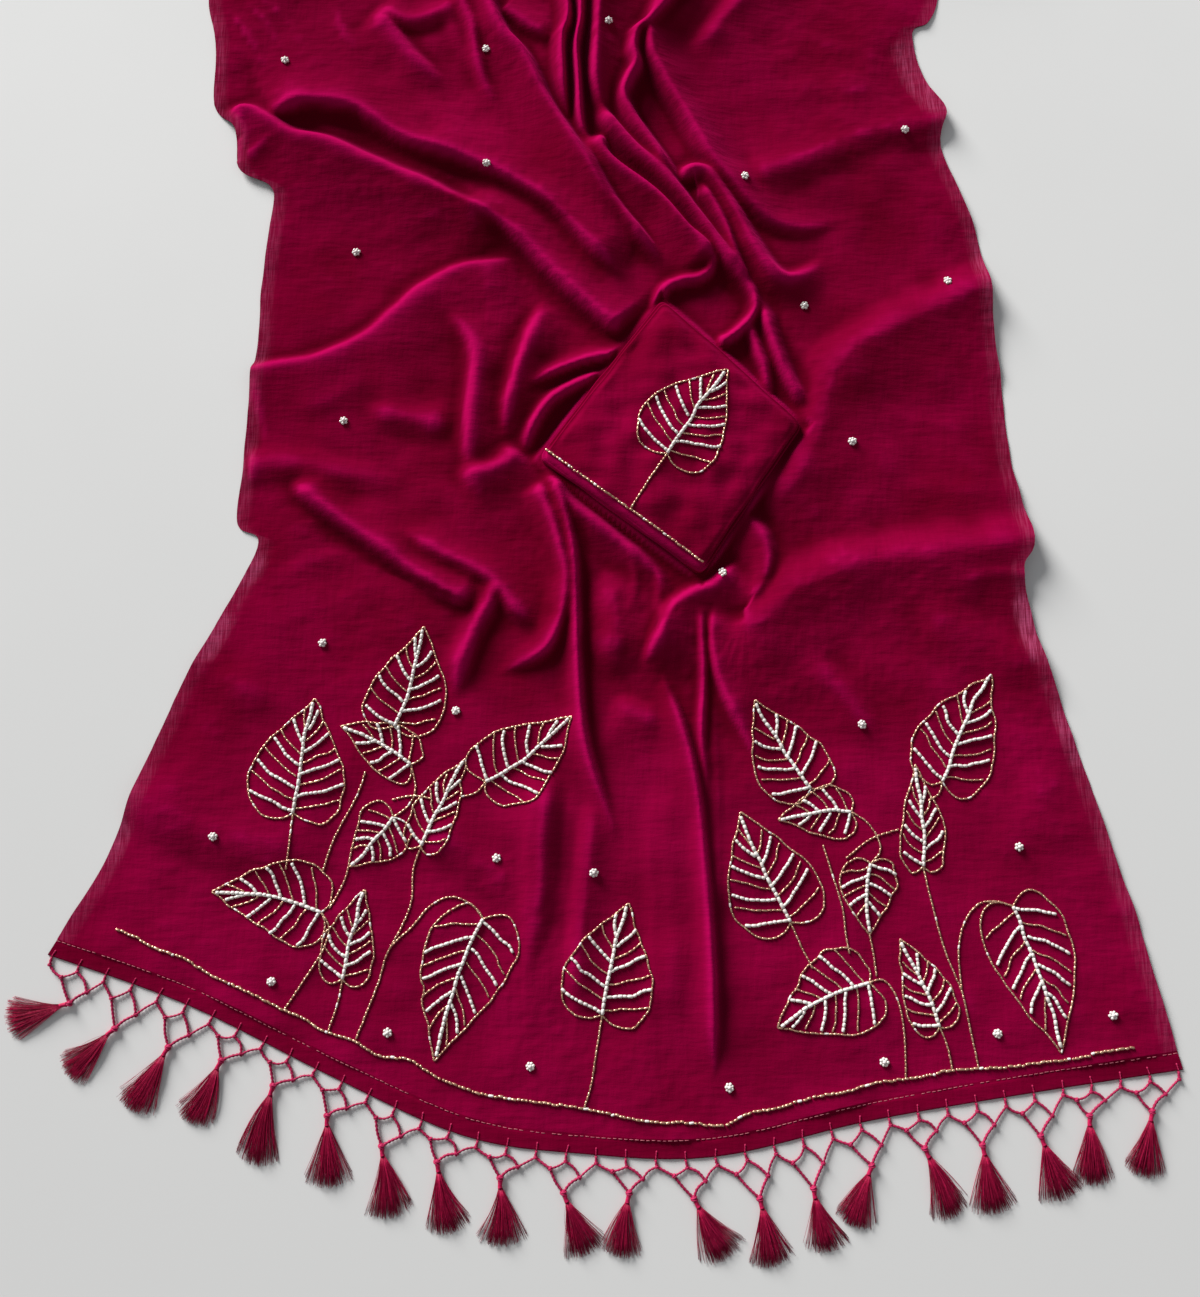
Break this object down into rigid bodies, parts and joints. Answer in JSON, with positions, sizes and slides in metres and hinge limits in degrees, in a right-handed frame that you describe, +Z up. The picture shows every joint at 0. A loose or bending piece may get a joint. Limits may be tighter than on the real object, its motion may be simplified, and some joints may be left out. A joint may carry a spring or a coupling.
{
  "type": "saree with folded blouse piece, laid flat",
  "caption": "Embroidered georgette saree laid flat, gathered into long folds, with a knotted tassel fringe and its blouse piece folded into a square on top.",
  "frame": {"origin": "centre of the bounding box's footprint, on the surface that the cloth lies on", "axes": "+Z up; +Y from the tasselled end towards the folded rest; +X to the right as seen from the tasselled end"},
  "size_m": [1.1168, 1.7533, 0.036],
  "materials": {
    "georgette": "soft crinkled georgette, raspberry magenta",
    "silk_thread": "silky twisted thread, deep raspberry",
    "gold_bead": "polished rose gold",
    "white_bead": "glossy opaque white"
  },
  "bodies": {
    "root": {"pallu_stretch": "georgette", "middle_stretch": "georgette", "top_stretch": "georgette", "folded_rest": "georgette", "pallu_hem": "georgette", "blouse_piece": "georgette", "fringe_net": "silk_thread", "tassel_01": "silk_thread", "tassel_02": "silk_thread", "tassel_03": "silk_thread", "tassel_04": "silk_thread", "tassel_05": "silk_thread", "tassel_06": "silk_thread", "tassel_07": "silk_thread", "tassel_08": "silk_thread", "tassel_09": "silk_thread", "tassel_10": "silk_thread", "tassel_11": "silk_thread", "tassel_12": "silk_thread", "tassel_13": "silk_thread", "tassel_14": "silk_thread", "tassel_15": "silk_thread", "tassel_16": "silk_thread", "tassel_17": "silk_thread", "tassel_18": "silk_thread", "tassel_19": "silk_thread", "tassel_20": "silk_thread"}
  },
  "joints": []
}
